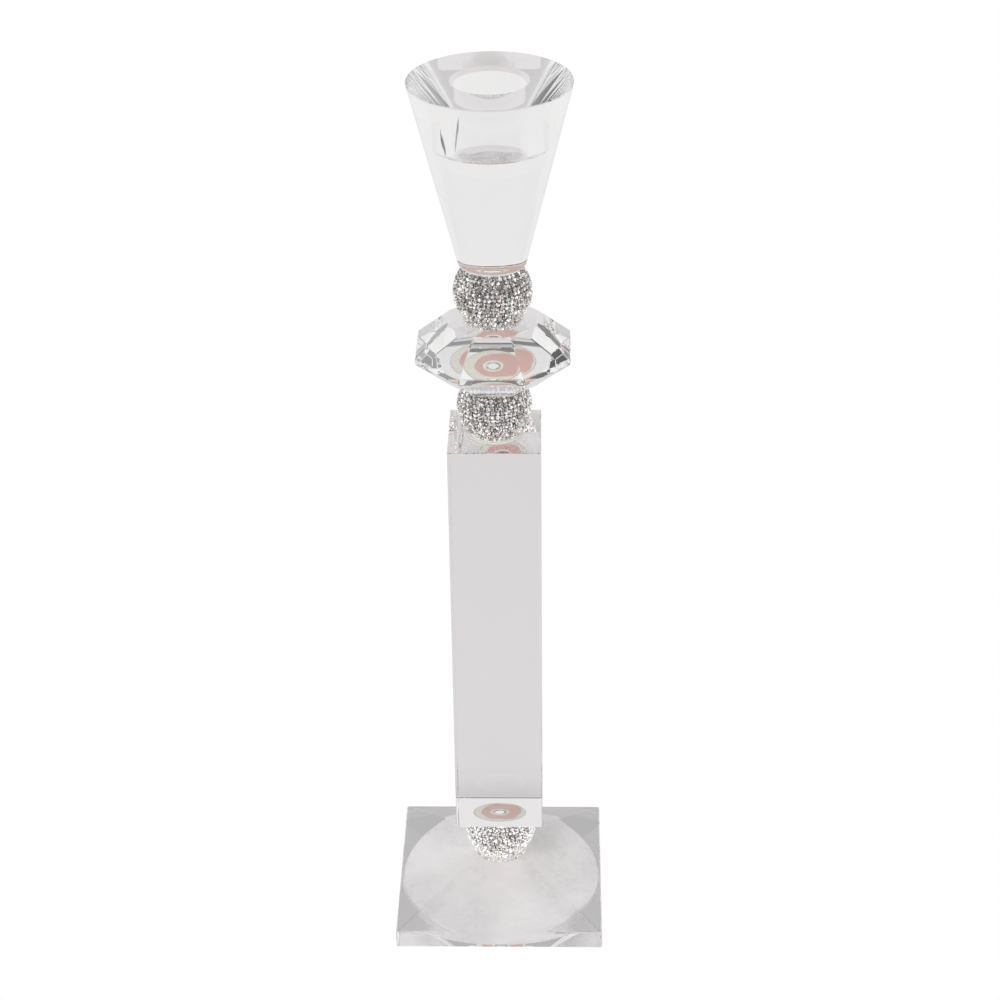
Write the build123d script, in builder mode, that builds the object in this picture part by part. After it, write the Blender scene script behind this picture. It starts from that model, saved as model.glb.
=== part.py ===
from build123d import *
import os

# Table candlestick: a clear crystal foot, bar, octagonal disc and candle cup, held apart by three
# balls paved with small cut stones. Every joint is a thin clear film of glue, and nothing moves.
# Millimetres, +Z up. The origin is the centre of the underside of the soft pad under the foot.

# ---- Glass ----
arris = 0.4  # polished bevel along the edges of the glass pieces

foot_width = 72.0
foot_edge_height = 6.7
foot_height = 16.6
foot_top_width = 24.0

column_width = 30.0
column_height = 150.0

disc_width = 49.0  # across the flats of the girdle
disc_table_width = 28.0  # across the flats of the top and bottom faces
disc_thickness = 20.8
disc_girdle_height = 2.0
disc_sides = 8

cup_height = 60.0
cup_bottom_diameter = 21.4
cup_top_diameter = 51.0
candle_diameter = 21.6
candle_clearance = 0.2  # radial, between the candle's foot and the bore
bore_depth = 20.5
bore_chamfer = 1.2

# ---- Pad under the foot ----
pad_inset = 2.0  # from the side of the foot to the edge of the round pad
pad_thickness = 0.9
pad_film_thickness = 0.1
pad_film_inset = 1.0

# ---- Stone-paved balls: the same inner pieces, a little different outside, being made by hand ----
film_thickness = 0.1
film_inset = 0.3  # from the rim of an end ring to the edge of its glue film

ring_diameter = 18.6
ring_thickness = 0.8
core_neck_diameter = 13.0  # where the core fills the hole of each end ring
paving_thickness = 1.6
bush_diameter = 6.9
tube_diameter = 4.4
tube_bore = 3.0

# name: (greatest diameter, length between its end faces, diameter at its shoulders)
ball_sizes = {
    "lower_ball": (25.1, 19.8, 17.2),
    "middle_ball": (24.4, 19.8, 16.8),
    "upper_ball": (25.2, 19.0, 18.4),
}

os.makedirs("parts", exist_ok=True)


def save(piece, name):
    """Labels a finished piece and writes it to its own STEP file."""
    piece.label = name
    export_step(piece, f"parts/{name}.step")
    box = piece.bounding_box()
    print(f"{name}: z {box.min.Z:.2f} to {box.max.Z:.2f} mm, {piece.volume:.0f} mm3")


# ---- Heights of the stack, from the table up ----
film_pair = 2 * film_thickness
foot_z = pad_thickness + pad_film_thickness
lower_ball_z = foot_z + foot_height + film_thickness
column_z = lower_ball_z - film_thickness + ball_sizes["lower_ball"][1] + film_pair
middle_ball_z = column_z + column_height + film_thickness
disc_z = middle_ball_z - film_thickness + ball_sizes["middle_ball"][1] + film_pair
upper_ball_z = disc_z + disc_thickness + film_thickness
cup_z = upper_ball_z - film_thickness + ball_sizes["upper_ball"][1] + film_pair
cup_top_z = cup_z + cup_height
ball_bottoms = {"lower_ball": lower_ball_z, "middle_ball": middle_ball_z, "upper_ball": upper_ball_z}


# ---- Pad and its adhesive ----
pad_diameter = foot_width - 2 * pad_inset

with BuildPart() as base_pad:
    with BuildSketch(Plane.XY):
        Circle(pad_diameter / 2)
    extrude(amount=pad_thickness)
save(base_pad.part, "base_pad")

with BuildPart() as pad_adhesive:
    with BuildSketch(Plane.XY.offset(pad_thickness)):
        Circle(pad_diameter / 2 - pad_film_inset)
    extrude(amount=pad_film_thickness)
save(pad_adhesive.part, "pad_adhesive")


# ---- Foot: a square slab whose top rises as a low pyramid, cut off flat ----
with BuildPart() as base_block:
    with BuildSketch(Plane.XY.offset(foot_z)):
        Rectangle(foot_width, foot_width)
    extrude(amount=foot_edge_height)
    with BuildSketch(Plane.XY.offset(foot_z + foot_edge_height)):
        Rectangle(foot_width, foot_width)
    with BuildSketch(Plane.XY.offset(foot_z + foot_height)):
        Rectangle(foot_top_width, foot_top_width)
    loft()
    foot_corners = base_block.edges().filter_by(Axis.Z)
    chamfer(foot_corners, arris)
    foot_rim = base_block.faces().sort_by(Axis.Z)[0].edges()
    chamfer(foot_rim, arris)
save(base_block.part, "base_block")


# ---- Column: a square bar ----
with BuildPart() as column:
    with BuildSketch(Plane.XY.offset(column_z)):
        Rectangle(column_width, column_width)
    extrude(amount=column_height)
    chamfer(column.edges(), arris)
save(column.part, "column")


# ---- Faceted disc: an octagon with a short upright girdle, cut back above and below ----
facet_height = (disc_thickness - disc_girdle_height) / 2
disc_radius = disc_width / 2
table_radius = disc_table_width / 2
disc_heights = (
    (disc_z, table_radius),
    (disc_z + facet_height, disc_radius),
    (disc_z + facet_height + disc_girdle_height, disc_radius),
    (disc_z + disc_thickness, table_radius),
)

with BuildPart() as faceted_disc:
    for (low_z, low_radius), (high_z, high_radius) in zip(disc_heights, disc_heights[1:]):
        with BuildSketch(Plane.XY.offset(low_z)):
            RegularPolygon(low_radius, disc_sides, major_radius=False, rotation=180 / disc_sides)
        with BuildSketch(Plane.XY.offset(high_z)):
            RegularPolygon(high_radius, disc_sides, major_radius=False, rotation=180 / disc_sides)
        loft()
save(faceted_disc.part, "faceted_disc")


# ---- Candle cup: a solid cone with a blind bore for a dinner candle ----
cup_low_radius = cup_bottom_diameter / 2
cup_high_radius = cup_top_diameter / 2
bore_radius = candle_diameter / 2 + candle_clearance
bore_floor_z = cup_top_z - bore_depth

with BuildPart() as candle_cup:
    with BuildSketch(Plane.XZ):
        with BuildLine():
            Polyline(
                (0, cup_z),
                (cup_low_radius, cup_z),
                (cup_high_radius, cup_top_z),
                (bore_radius + bore_chamfer, cup_top_z),
                (bore_radius, cup_top_z - bore_chamfer),
                (bore_radius, bore_floor_z),
                (0, bore_floor_z),
                close=True,
            )
        make_face()
    revolve(axis=Axis.Z)
    rims = candle_cup.edges().filter_by(GeomType.CIRCLE).sort_by(SortBy.RADIUS)
    cup_rim = rims[-1]
    foot_edge = candle_cup.faces().sort_by(Axis.Z)[0].edges()
    chamfer([cup_rim] + foot_edge, arris)
save(candle_cup.part, "candle_cup")


# ---- Paved balls ----
for ball, (diameter, length, shoulder_diameter) in ball_sizes.items():
    bottom_z = ball_bottoms[ball]
    middle_z = bottom_z + length / 2
    top_z = bottom_z + length
    low_seat_z = bottom_z + ring_thickness
    high_seat_z = top_z - ring_thickness
    neck_radius = core_neck_diameter / 2
    bush_radius = bush_diameter / 2
    waist_radius = diameter / 2
    shoulder_radius = shoulder_diameter / 2
    core_radius = waist_radius - paving_thickness

    with BuildPart() as core:
        with BuildSketch(Plane.XZ):
            with BuildLine():
                Spline((neck_radius, low_seat_z), (core_radius, middle_z), (neck_radius, high_seat_z))
                Polyline(
                    (neck_radius, high_seat_z),
                    (neck_radius, top_z),
                    (bush_radius, top_z),
                    (bush_radius, bottom_z),
                    (neck_radius, bottom_z),
                    (neck_radius, low_seat_z),
                )
            make_face()
        revolve(axis=Axis.Z)
    save(core.part, f"{ball}_core")

    with BuildPart() as paving:
        with BuildSketch(Plane.XZ):
            with BuildLine():
                Spline((neck_radius, low_seat_z), (core_radius, middle_z), (neck_radius, high_seat_z))
                Line((neck_radius, high_seat_z), (shoulder_radius, high_seat_z))
                Spline(
                    (shoulder_radius, high_seat_z),
                    (waist_radius, middle_z),
                    (shoulder_radius, low_seat_z),
                )
                Line((shoulder_radius, low_seat_z), (neck_radius, low_seat_z))
            make_face()
        revolve(axis=Axis.Z)
    save(paving.part, f"{ball}_paving")

    for end, ring_z in (("bottom", bottom_z), ("top", high_seat_z)):
        with BuildPart() as end_ring:
            with BuildSketch(Plane.XY.offset(ring_z)):
                Circle(ring_diameter / 2)
                Circle(neck_radius, mode=Mode.SUBTRACT)
            extrude(amount=ring_thickness)
        save(end_ring.part, f"{ball}_{end}_ring")

    with BuildPart() as bush:
        with BuildSketch(Plane.XY.offset(bottom_z)):
            Circle(bush_radius)
            Circle(tube_diameter / 2, mode=Mode.SUBTRACT)
        extrude(amount=length)
    save(bush.part, f"{ball}_bush")

    with BuildPart() as tube:
        with BuildSketch(Plane.XY.offset(bottom_z)):
            Circle(tube_diameter / 2)
            Circle(tube_bore / 2, mode=Mode.SUBTRACT)
        extrude(amount=length)
    save(tube.part, f"{ball}_tube")

    for end, film_z in (("bottom", bottom_z - film_thickness), ("top", top_z)):
        with BuildPart() as glue_film:
            with BuildSketch(Plane.XY.offset(film_z)):
                Circle(ring_diameter / 2 - film_inset)
            extrude(amount=film_thickness)
        save(glue_film.part, f"{ball}_{end}_glue")
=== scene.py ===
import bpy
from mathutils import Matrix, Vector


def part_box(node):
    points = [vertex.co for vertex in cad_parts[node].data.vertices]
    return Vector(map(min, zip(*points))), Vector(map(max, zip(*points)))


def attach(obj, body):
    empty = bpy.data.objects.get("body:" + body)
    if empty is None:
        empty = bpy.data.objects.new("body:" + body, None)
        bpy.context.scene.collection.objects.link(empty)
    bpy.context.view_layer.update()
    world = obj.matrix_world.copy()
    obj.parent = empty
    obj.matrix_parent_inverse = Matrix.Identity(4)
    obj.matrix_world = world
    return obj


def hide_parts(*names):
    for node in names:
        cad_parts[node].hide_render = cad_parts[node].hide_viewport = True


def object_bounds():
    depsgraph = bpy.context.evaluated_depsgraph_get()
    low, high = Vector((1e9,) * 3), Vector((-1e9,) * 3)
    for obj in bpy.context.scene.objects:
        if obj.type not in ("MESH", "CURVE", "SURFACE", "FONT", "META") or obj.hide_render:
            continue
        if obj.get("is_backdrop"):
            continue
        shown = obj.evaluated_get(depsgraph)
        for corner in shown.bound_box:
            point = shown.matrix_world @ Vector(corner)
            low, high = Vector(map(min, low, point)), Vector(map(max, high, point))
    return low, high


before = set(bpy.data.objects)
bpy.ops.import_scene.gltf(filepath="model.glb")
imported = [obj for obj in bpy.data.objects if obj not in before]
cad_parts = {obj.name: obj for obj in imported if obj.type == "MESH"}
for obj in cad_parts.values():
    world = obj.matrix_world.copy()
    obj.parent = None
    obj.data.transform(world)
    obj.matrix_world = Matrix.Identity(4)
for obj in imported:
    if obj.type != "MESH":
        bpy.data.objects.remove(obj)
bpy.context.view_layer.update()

# Looks of the crystal candlestick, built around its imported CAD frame. Metres, +Z up.
import logging
import math
import random
from contextlib import contextmanager
from dataclasses import dataclass, field
from enum import Enum
from typing import Any, Callable, Iterator, Sequence

import bmesh
import bpy
from mathutils import Matrix, Vector

LOG = logging.getLogger("candlestick")
MM = 0.001
BODY = "root"

FLAT = 0.99  # a face whose normal's Z is past this looks straight up or down
SAME_HEIGHT = 0.02 * MM  # how near two heights are to count as one
SAME_RADIUS = 0.05 * MM

Piece = bpy.types.Object
Triple = tuple[float, float, float]
Colour = Triple
Test = Callable[[Any], bool]


class Pick(Enum):
    """What an edit-mode selection is made of: the operator's name and the mesh's own."""

    VERTS = ("VERT", "verts")
    EDGES = ("EDGE", "edges")
    FACES = ("FACE", "faces")


class End(Enum):
    """The two ends of a paved ball, each with its outward direction along Z."""

    BOTTOM = -1
    TOP = 1


# ---- Hand tools ------------------------------------------------------------------------------


class Bench:
    """The modelling tools that every sub-assembly works with."""

    @staticmethod
    def clear() -> None:
        """Leaves object mode with nothing selected."""
        active = bpy.context.view_layer.objects.active
        if active is not None and active.mode != "OBJECT":
            bpy.ops.object.mode_set(mode="OBJECT")
        bpy.ops.object.select_all(action="DESELECT")

    @staticmethod
    def only(piece: Piece) -> None:
        """Selects one piece and makes it the active one.

        Args:
            piece: The piece to work on.
        """
        Bench.clear()
        piece.select_set(True)
        bpy.context.view_layer.objects.active = piece

    @staticmethod
    def settle(name: str) -> Piece:
        """Names the new primitive and puts its place and turn into its mesh.

        Args:
            name: The piece's name.

        Returns:
            The piece, its origin at the frame's.
        """
        piece = bpy.context.active_object
        piece.name = name
        piece.data.name = name
        bpy.ops.object.transform_apply(location=True, rotation=True, scale=True)
        return piece

    @staticmethod
    def cone(name: str, low_radius: float, high_radius: float, low: float, high: float,
             sides: int, turn: float = 0.0) -> Piece:
        """Adds an upright cone, or a cylinder where both radii are the same.

        Args:
            name: The piece's name.
            low_radius: Corner radius of the lower end.
            high_radius: Corner radius of the upper end.
            low: Height of the lower end.
            high: Height of the upper end.
            sides: Number of sides.
            turn: Turn about Z, in radians.

        Returns:
            The new piece.
        """
        Bench.clear()
        bpy.ops.mesh.primitive_cone_add(
            vertices=sides, radius1=low_radius, radius2=high_radius, depth=high - low,
            location=(0, 0, (low + high) / 2), rotation=(0, 0, turn))
        return Bench.settle(name)

    @staticmethod
    def box(name: str, low: Vector, high: Vector) -> Piece:
        """Adds a box between two corners.

        Args:
            name: The piece's name.
            low: Its lowest corner.
            high: Its highest corner.

        Returns:
            The new piece.
        """
        Bench.clear()
        bpy.ops.mesh.primitive_cube_add(size=1, location=(low + high) / 2, scale=high - low)
        return Bench.settle(name)

    @staticmethod
    @contextmanager
    def shaping(piece: Piece) -> Iterator[None]:
        """Edit mode on one piece, with nothing selected at first.

        Args:
            piece: The piece to shape.
        """
        Bench.only(piece)
        bpy.ops.object.mode_set(mode="EDIT")
        bpy.ops.mesh.select_all(action="DESELECT")
        yield
        bpy.ops.object.mode_set(mode="OBJECT")

    @staticmethod
    def pick(piece: Piece, what: Pick, test: Test) -> int:
        """Selects the vertices, edges or faces that pass a test, and nothing else.

        Args:
            piece: The piece in edit mode.
            what: What the test looks at.
            test: True for an element to select.

        Returns:
            How many were selected.
        """
        mode, kind = what.value
        bpy.ops.mesh.select_mode(type=mode)
        bpy.ops.mesh.select_all(action="DESELECT")
        shape = bmesh.from_edit_mesh(piece.data)
        found = [element for element in getattr(shape, kind) if test(element)]
        for element in found:
            element.select_set(True)
        shape.select_flush_mode()
        bmesh.update_edit_mesh(piece.data)
        return len(found)

    @staticmethod
    def caps(piece: Piece, direction: int) -> int:
        """Selects the flat faces that look straight up (1) or down (-1)."""
        return Bench.pick(piece, Pick.FACES, lambda face: face.normal.z * direction > FLAT)

    @staticmethod
    def inset(width: float) -> None:
        """Insets the selected face."""
        bpy.ops.mesh.inset(thickness=width, use_even_offset=True)

    @staticmethod
    def extrude(height: float) -> None:
        """Extrudes the selected faces along Z."""
        bpy.ops.mesh.extrude_region_move(TRANSFORM_OT_translate={"value": (0, 0, height)})

    @staticmethod
    def widen(share: float) -> None:
        """Scales the selection outwards from the Z axis."""
        bpy.ops.transform.resize(value=(share, share, 1), center_override=(0, 0, 0))

    @staticmethod
    def bevel(width: float, steps: int = 1) -> None:
        """Bevels the selected edges."""
        bpy.ops.mesh.bevel(offset=width, segments=steps, affect="EDGES", profile=0.5)

    @staticmethod
    def bevel_rims(piece: Piece, width: float, steps: int, height: float, radius: float) -> None:
        """Bevels the round edge at one height and radius.

        Args:
            piece: The piece in edit mode.
            width: Width of the bevel.
            steps: Number of segments in it.
            height: Height of the edge.
            radius: Radius of the edge.
        """
        Bench.pick(piece, Pick.EDGES, lambda edge: all(
            abs(v.co.z - height) < SAME_HEIGHT and abs(v.co.xy.length - radius) < SAME_RADIUS
            for v in edge.verts))
        Bench.bevel(width, steps)

    @staticmethod
    def bevel_corners(piece: Piece, width: float, steps: int = 1) -> None:
        """Bevels every edge where two faces meet at a clear angle.

        Args:
            piece: The piece, in object mode.
            width: Width of the bevel.
            steps: Number of segments in it.
        """
        clear_angle = 0.2  # radians
        with Bench.shaping(piece):
            Bench.pick(piece, Pick.EDGES,
                       lambda edge: edge.calc_face_angle(0.0) > clear_angle)
            Bench.bevel(width, steps)

    @staticmethod
    def drill(piece: Piece, width: float) -> None:
        """Opens a hole from the lower to the upper cap of a round piece.

        Args:
            piece: The piece in edit mode.
            width: Distance from its outside to the hole.
        """
        Bench.pick(piece, Pick.FACES, lambda face: abs(face.normal.z) > FLAT)
        Bench.inset(width)
        bpy.ops.mesh.bridge_edge_loops()

    @staticmethod
    def smooth(piece: Piece, degrees: float = 20.0) -> Piece:
        """Shades a piece smooth but for its sharp edges.

        Args:
            piece: The piece.
            degrees: The angle from which an edge stays sharp.

        Returns:
            The same piece.
        """
        Bench.only(piece)
        bpy.ops.object.shade_smooth_by_angle(angle=math.radians(degrees))
        return piece

    @staticmethod
    def washer(name: str, outer: float, inner: float, low: float, high: float,
               sides: int = 96, round_off: float = 0.0) -> Piece:
        """Makes a round piece with a hole through it.

        Args:
            name: The piece's name.
            outer: Outer radius.
            inner: Radius of the hole.
            low: Height of the lower end.
            high: Height of the upper end.
            sides: Number of sides.
            round_off: Width of the rounding on the outer rims, or 0.

        Returns:
            The new piece.
        """
        piece = Bench.cone(name, outer, outer, low, high, sides)
        with Bench.shaping(piece):
            Bench.drill(piece, outer - inner)
            if round_off:
                for height in (low, high):
                    Bench.bevel_rims(piece, round_off, 2, height, outer)
        return piece

    @staticmethod
    def contour(piece: Piece, low: float, high: float, cuts: int, wall: float,
                profile: Callable[[float], float]) -> None:
        """Cuts a round wall into bands and widens each cut to a profile.

        Args:
            piece: The piece in object mode, its wall straight from low to high.
            low: Height of the wall's lower end.
            high: Height of its upper end.
            cuts: Number of cuts between them.
            wall: Radius of the wall as it is.
            profile: The radius wanted at a height.
        """
        with Bench.shaping(piece):
            Bench.pick(piece, Pick.EDGES, lambda edge: (
                abs(edge.verts[0].co.z - edge.verts[1].co.z) > 0.9 * (high - low)
                and all(abs(v.co.xy.length - wall) < SAME_RADIUS for v in edge.verts)))
            bpy.ops.mesh.subdivide(number_cuts=cuts)
            for cut in range(cuts + 2):
                height = low + (high - low) * cut / (cuts + 1)
                Bench.pick(piece, Pick.VERTS, lambda v: (
                    abs(v.co.z - height) < SAME_HEIGHT / 2
                    and abs(v.co.xy.length - wall) < SAME_RADIUS))
                Bench.widen(profile(height) / wall)


# ---- Shader nodes ----------------------------------------------------------------------------


class NodeBoard:
    """Lays nodes in one tree and wires them."""

    def __init__(self, tree: bpy.types.NodeTree) -> None:
        """Takes the tree to work in."""
        self.tree = tree

    def add(self, kind: str, inputs: dict[Any, Any] | None = None, **settings: Any) -> Any:
        """Adds a node, its inputs set to constants or wired from sockets.

        Args:
            kind: The node's type without its ShaderNode prefix.
            inputs: Values or source sockets by input name or number.
            **settings: Properties of the node.

        Returns:
            The node.
        """
        node = self.tree.nodes.new("ShaderNode" + kind)
        for key, value in settings.items():
            setattr(node, key, value)
        for key, value in (inputs or {}).items():
            if isinstance(value, bpy.types.NodeSocket):
                self.tree.links.new(value, node.inputs[key])
            else:
                node.inputs[key].default_value = value
        return node

    def math(self, operation: str, first: Any, second: Any = 0.0, clamp: bool = False) -> Any:
        """Adds a Math node and gives its output."""
        return self.add("Math", {0: first, 1: second}, operation=operation,
                        use_clamp=clamp).outputs[0]

    def band(self, value: Any, low: Any, high: Any, first: Any = 0.0, last: Any = 1.0) -> Any:
        """Maps a value from one range to another, clamped, and gives the output."""
        return self.add("MapRange", {"Value": value, "From Min": low, "From Max": high,
                                     "To Min": first, "To Max": last}).outputs[0]

    def mix(self, share: Any, first: Any, second: Any) -> Any:
        """Mixes two colours and gives the output."""
        inputs = {0: share, 6: self.opaque(first), 7: self.opaque(second)}
        return self.add("Mix", inputs, data_type="RGBA").outputs[2]

    def noise(self, vector: Any, scale: Any, detail: float = 2.0, distortion: float = 0.0) -> Any:
        """Adds a noise texture and gives its value."""
        return self.add("TexNoise", {"Vector": vector, "Scale": scale, "Detail": detail,
                                     "Distortion": distortion}).outputs[0]

    def ramp(self, value: Any, stops: Sequence[tuple[float, Colour]], steps: bool = False) -> Any:
        """Adds a colour ramp.

        Args:
            value: The socket that it reads.
            stops: Position and colour of each stop.
            steps: True for steps and not a blend.

        Returns:
            Its colour output.
        """
        node = self.add("ValToRGB", {0: value})
        elements = node.color_ramp.elements
        node.color_ramp.interpolation = "CONSTANT" if steps else "LINEAR"
        while len(elements) < len(stops):
            elements.new(0.5)
        for element, (place, colour) in zip(elements, stops):
            element.position = place
            element.color = self.opaque(colour)
        return node.outputs[0]

    def place(self, stretch: Triple = (1.0, 1.0, 1.0)) -> Any:
        """Object coordinates through a Mapping node.

        Args:
            stretch: How many times finer a pattern runs along each axis.

        Returns:
            The vector output.
        """
        source = self.add("TexCoord").outputs["Object"]
        return self.add("Mapping", {"Vector": source, "Scale": stretch}).outputs[0]

    def radius(self, vector: Any) -> Any:
        """Distance from the Z axis."""
        axis = self.add("SeparateXYZ", {0: vector})
        flat = self.add("CombineXYZ", {0: axis.outputs[0], 1: axis.outputs[1]}).outputs[0]
        return self.add("VectorMath", {0: flat}, operation="LENGTH").outputs["Value"]

    def add_group_end(self, kind: str) -> Any:
        """Adds a group's input or output node."""
        return self.tree.nodes.new(kind)

    @staticmethod
    def opaque(colour: Any) -> Any:
        """A colour with its fourth number, or a socket as it is."""
        return colour if isinstance(colour, bpy.types.NodeSocket) else (*colour, 1.0)


class SharedEffects:
    """Effects that more than one finish uses, each a node group made once."""

    @staticmethod
    def open(name: str, inputs: dict[str, float | Colour], outputs: dict[str, str]
             ) -> tuple[bpy.types.NodeTree, NodeBoard, Any, Any]:
        """Starts a node group with named inputs and outputs.

        Args:
            name: The group's name.
            inputs: Default of each input; a float, a colour, or the Vector.
            outputs: Kind of each output, Float or Color.

        Returns:
            The group, a board on it, its input node and its output node.
        """
        group = bpy.data.node_groups.new(name, "ShaderNodeTree")
        group.interface.new_socket(name="Vector", in_out="INPUT",
                                   socket_type="NodeSocketVector")
        for title, value in inputs.items():
            kind = "Float" if isinstance(value, float) else "Color"
            made = group.interface.new_socket(name=title, in_out="INPUT",
                                              socket_type="NodeSocket" + kind)
            made.default_value = value if kind == "Float" else (*value, 1.0)
        for title, kind in outputs.items():
            group.interface.new_socket(name=title, in_out="OUTPUT",
                                       socket_type="NodeSocket" + kind)
        board = NodeBoard(group)
        return group, board, board.add_group_end("NodeGroupInput"), \
            board.add_group_end("NodeGroupOutput")

    @staticmethod
    def polish_wear() -> bpy.types.NodeTree:
        """Hairline scratches, specks of dust and the soft waviness of hand polishing.

        Returns:
            The group, with outputs Roughness, Height and Dust.
        """
        name = "polish_wear"
        if name in bpy.data.node_groups:
            return bpy.data.node_groups[name]
        group, board, start, end = SharedEffects.open(
            name, {"Waviness": 1.0, "Scratches": 1.0, "Dust": 1.0, "Base": 0.0},
            {"Roughness": "Float", "Height": "Float", "Dust": "Float"})
        vector = start.outputs["Vector"]
        wave = board.noise(vector, 55.0, 1.0)
        along = board.add("Mapping", {"Vector": vector, "Rotation": (0.5, 0.35, 0.6),
                                      "Scale": (1.0, 0.045, 1.0)}).outputs[0]
        hair = board.band(board.noise(along, 900.0, 3.0), 0.69, 0.75)
        hair = board.math("MULTIPLY", hair, board.band(board.noise(vector, 70.0), 0.5, 0.62))
        hair = board.math("MULTIPLY", hair, start.outputs["Scratches"])
        cells = board.add("TexVoronoi", {"Vector": vector, "Scale": 420.0})
        speck = board.band(cells.outputs["Distance"], 0.09, 0.05)
        chosen = board.band(board.noise(vector, 260.0, 0.0), 0.55, 0.6)
        dust = board.math("MULTIPLY", board.math("MULTIPLY", speck, chosen),
                          start.outputs["Dust"])
        rough = board.math("ADD", start.outputs["Base"], board.math("MULTIPLY", hair, 0.12))
        rough = board.math("ADD", rough, board.math("MULTIPLY", dust, 0.5), clamp=True)
        height = board.math("MULTIPLY", wave, start.outputs["Waviness"])
        height = board.math("SUBTRACT", height, board.math("MULTIPLY", hair, 0.02))
        for title, value in (("Roughness", rough), ("Height", height), ("Dust", dust)):
            board.tree.links.new(value, end.inputs[title])
        return group

    @staticmethod
    def mottle() -> bpy.types.NodeTree:
        """Two colours that drift into each other in soft patches with a fine grain.

        Returns:
            The group, with outputs Color, Mask and Height.
        """
        name = "mottle"
        if name in bpy.data.node_groups:
            return bpy.data.node_groups[name]
        group, board, start, end = SharedEffects.open(
            name, {"Patches": 200.0, "Grain": 2500.0, "Sharpness": 0.5,
                   "Light": (0.8, 0.8, 0.8), "Dark": (0.5, 0.5, 0.5)},
            {"Color": "Color", "Mask": "Float", "Height": "Float"})
        vector = start.outputs["Vector"]
        patch = board.noise(vector, start.outputs["Patches"], 3.0, 0.6)
        grain = board.noise(vector, start.outputs["Grain"], 2.0)
        half = board.math("MULTIPLY_ADD", start.outputs["Sharpness"], -0.45)
        half.node.inputs[2].default_value = 0.5
        low = board.math("SUBTRACT", 0.5, board.math("MULTIPLY", half, 0.5))
        high = board.math("ADD", 0.5, board.math("MULTIPLY", half, 0.5))
        mask = board.band(patch, low, high)
        speckled = board.math("ADD", mask, board.band(grain, 0.3, 0.7, -0.22, 0.22), clamp=True)
        colour = board.mix(speckled, start.outputs["Dark"], start.outputs["Light"])
        board.tree.links.new(colour, end.inputs["Color"])
        board.tree.links.new(speckled, end.inputs["Mask"])
        board.tree.links.new(grain, end.inputs["Height"])
        return group


# ---- Finishes --------------------------------------------------------------------------------


@dataclass(frozen=True)
class Finish:
    """A material made once and given to any number of pieces."""

    name: str

    def material(self) -> bpy.types.Material:
        """The finish's material, made at first use.

        Returns:
            The Blender material.
        """
        made = bpy.data.materials.get(self.name)
        if made is None:
            made = bpy.data.materials.new(self.name)
            made.use_nodes = True
            board = NodeBoard(made.node_tree)
            shader = made.node_tree.nodes["Principled BSDF"]
            self.dress(board, shader)
        return made

    def dress(self, board: NodeBoard, shader: Any) -> None:
        """Lays the finish's nodes; each finish has its own."""
        raise NotImplementedError

    @staticmethod
    def group(board: NodeBoard, tree: bpy.types.NodeTree, inputs: dict[str, Any]) -> Any:
        """Places a shared effect and gives its node."""
        node = board.tree.nodes.new("ShaderNodeGroup")
        node.node_tree = tree
        for key, value in inputs.items():
            if isinstance(value, bpy.types.NodeSocket):
                board.tree.links.new(value, node.inputs[key])
            else:
                node.inputs[key].default_value = value
        return node

    @staticmethod
    def bump(board: NodeBoard, shader: Any, height: Any, depth: float,
             strength: float = 1.0) -> None:
        """Feeds a height to the shader's normal.

        Args:
            board: The board in use.
            shader: The Principled BSDF.
            height: The height socket.
            depth: What a height of 1 stands for, in metres.
            strength: The bump's strength.
        """
        bump = board.add("Bump", {"Height": height, "Distance": depth, "Strength": strength})
        board.tree.links.new(bump.outputs[0], shader.inputs["Normal"])


@dataclass(frozen=True)
class CrystalFinish(Finish):
    """Clear polished crystal: see-through, a little wavy, with hairlines and dust."""

    tint: Colour = (0.985, 0.99, 0.99)
    cloud: Colour = (0.975, 0.975, 0.98)
    waviness: float = 0.25
    scratches: float = 0.35
    dust: float = 0.4
    haze: float = 0.0
    ior: float = 1.52
    stretch: Triple = (1.0, 1.0, 1.0)

    def dress(self, board: NodeBoard, shader: Any) -> None:
        """Lays clear glass that lets the light through to what is behind it."""
        vector = board.place(self.stretch)
        wear = self.group(board, SharedEffects.polish_wear(), {
            "Vector": vector, "Waviness": self.waviness, "Scratches": self.scratches,
            "Dust": self.dust, "Base": self.haze})
        patch = board.noise(vector, 38.0, 2.0)
        colour = board.mix(board.band(patch, 0.35, 0.65), self.cloud, self.tint)
        board.tree.links.new(colour, shader.inputs["Base Color"])
        board.tree.links.new(wear.outputs["Roughness"], shader.inputs["Roughness"])
        shader.inputs["IOR"].default_value = self.ior
        shader.inputs["Transmission Weight"].default_value = 1.0
        self.bump(board, shader, wear.outputs["Height"], 0.00006)
        through = board.add("BsdfTransparent", {0: (0.95, 0.95, 0.95, 1.0)})
        rays = board.add("LightPath")
        both = board.add("MixShader", {0: rays.outputs["Is Shadow Ray"], 1: shader.outputs[0],
                                       2: through.outputs[0]})
        output = board.tree.nodes["Material Output"]
        board.tree.links.new(both.outputs[0], output.inputs["Surface"])


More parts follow.
